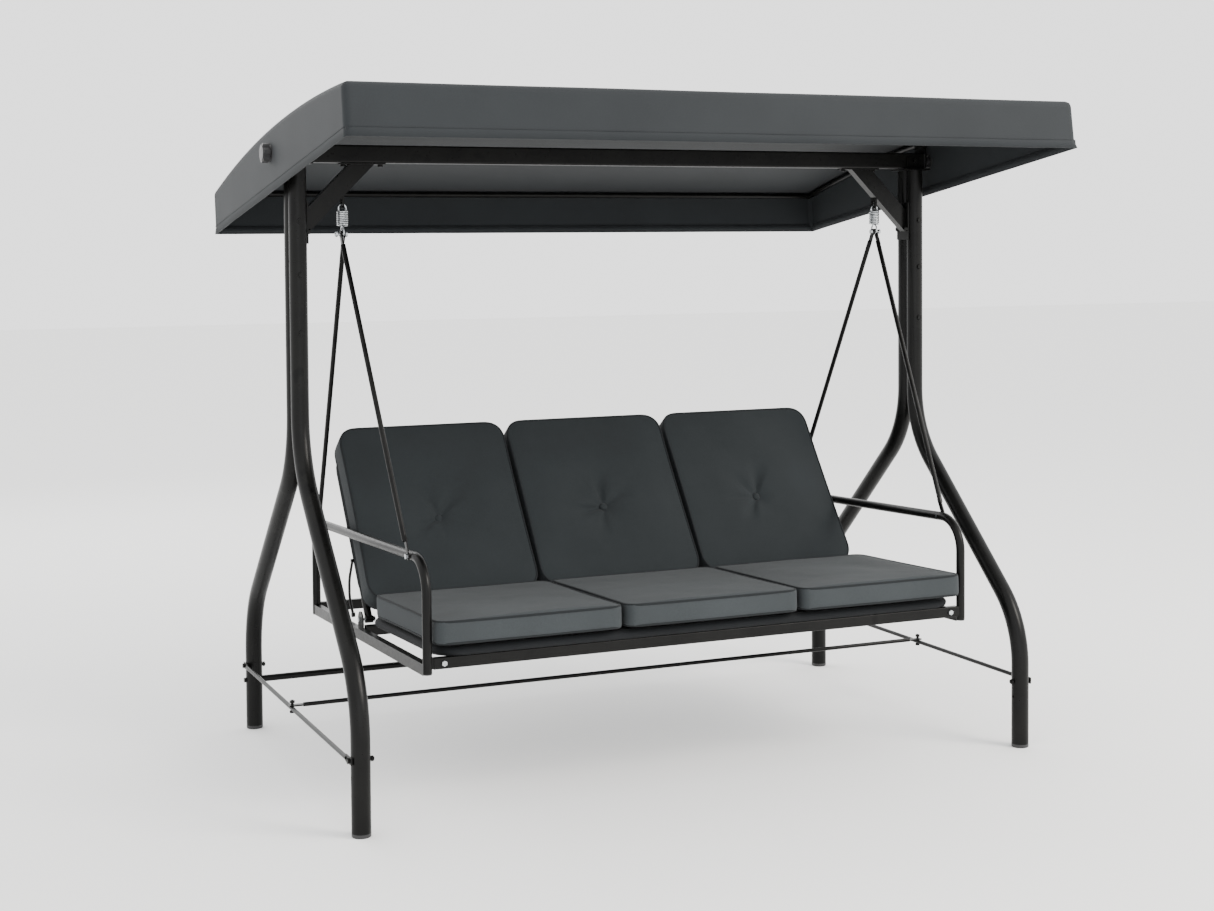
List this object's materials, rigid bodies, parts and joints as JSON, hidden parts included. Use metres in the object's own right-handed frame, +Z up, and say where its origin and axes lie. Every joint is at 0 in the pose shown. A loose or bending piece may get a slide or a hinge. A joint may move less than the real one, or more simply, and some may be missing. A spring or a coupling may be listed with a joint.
{
  "type": "glider swing",
  "caption": "Hanging bench swing with wishbone side frames, sprung rod hangers, a back that folds flat into a bed, cushions and a tilting fabric canopy.",
  "frame": {"origin": "centre of the swing's footprint on the floor", "axes": "+X to the right along the bench seen from the front, +Y to the back, +Z up; the bench faces -Y"},
  "size_m": [2.1868, 1.5236, 1.8832],
  "materials": {
    "frame_steel": "satin",
    "black_bolt": "satin",
    "bolt_zinc": "satin",
    "spring_zinc": "satin",
    "black_plastic": "matte",
    "cushion_fabric": "matte",
    "sling_fabric": "matte",
    "canopy_fabric": "matte"
  },
  "bodies": {
    "frame": {"leg_front_left": "frame_steel", "leg_front_right": "frame_steel", "leg_rear_left": "frame_steel", "leg_rear_right": "frame_steel", "foot_caps": "black_plastic", "upper_post_left": "frame_steel", "upper_post_right": "frame_steel", "splice_sleeves": "frame_steel", "post_bolts": "black_bolt", "top_beam": "frame_steel", "beam_plugs": "black_plastic", "beam_saddle_bolts": "black_bolt", "brace_left": "frame_steel", "brace_right": "frame_steel", "brace_bolts": "black_bolt", "side_stretcher_left": "frame_steel", "side_stretcher_right": "frame_steel", "centre_rod": "frame_steel", "rear_cross_tube": "frame_steel", "stretcher_bolts": "black_bolt", "centre_rod_bolts": "black_bolt"},
    "spring_link": {"spring_left": "spring_zinc", "spring_right": "spring_zinc"},
    "bench": {"hanger_pins": "bolt_zinc", "hanger_front_left": "frame_steel", "hanger_front_right": "frame_steel", "hanger_rear_left": "frame_steel", "hanger_rear_right": "frame_steel", "hanger_arm_bolts": "bolt_zinc", "arm_frame_left": "frame_steel", "arm_frame_right": "frame_steel", "arm_plugs": "black_plastic", "front_rail": "frame_steel", "rear_rail": "frame_steel", "middle_rail": "frame_steel", "rail_bolts": "bolt_zinc", "seat_pan": "frame_steel", "seat_sling": "sling_fabric", "recline_bolts": "bolt_zinc", "seat_cushion_left": "cushion_fabric", "seat_cushion_middle": "cushion_fabric", "seat_cushion_right": "cushion_fabric"},
    "backrest": {"back_frame": "frame_steel", "back_sling": "sling_fabric", "stay_left": "frame_steel", "stay_right": "frame_steel", "back_cushion_left": "cushion_fabric", "back_cushion_middle": "cushion_fabric", "back_cushion_right": "cushion_fabric"},
    "canopy": {"canopy_bow_left": "frame_steel", "canopy_bow_right": "frame_steel", "canopy_front_tube": "frame_steel", "canopy_rear_tube": "frame_steel", "canopy_cloth": "canopy_fabric"},
    "left_knob": {"knob_left": "black_plastic"},
    "right_knob": {"knob_right": "black_plastic"}
  },
  "joints": [
    {"name": "swing", "type": "hinge", "parent": "frame", "child": "spring_link", "pos_m": [0, 0, 1.60149], "axis": [1, 0, 0], "range_deg": [-15, 15]},
    {"name": "spring_bounce", "type": "slide", "parent": "spring_link", "child": "bench", "axis": [0, 0, -1], "range_m": [-0.004, 0.012], "stiffness_N_per_m": 60000, "springref_m": -0.01306, "deforming": ["spring_left", "spring_right"]},
    {"name": "backrest_recline", "type": "hinge", "parent": "bench", "child": "backrest", "pos_m": [0, 0.092, 0.408], "axis": [-1, 0, 0], "range_deg": [0, 53]},
    {"name": "canopy_tilt", "type": "hinge", "parent": "frame", "child": "canopy", "pos_m": [0, 0, 1.742], "axis": [1, 0, 0], "range_deg": [-8.5, 15]},
    {"name": "left_knob_turn", "type": "hinge", "parent": "frame", "child": "left_knob", "pos_m": [-1.07, 0, 1.742], "axis": [-1, 0, 0], "range_deg": [-180, 180]},
    {"name": "right_knob_turn", "type": "hinge", "parent": "frame", "child": "right_knob", "pos_m": [1.07, 0, 1.742], "axis": [1, 0, 0], "range_deg": [-180, 180]}
  ]
}
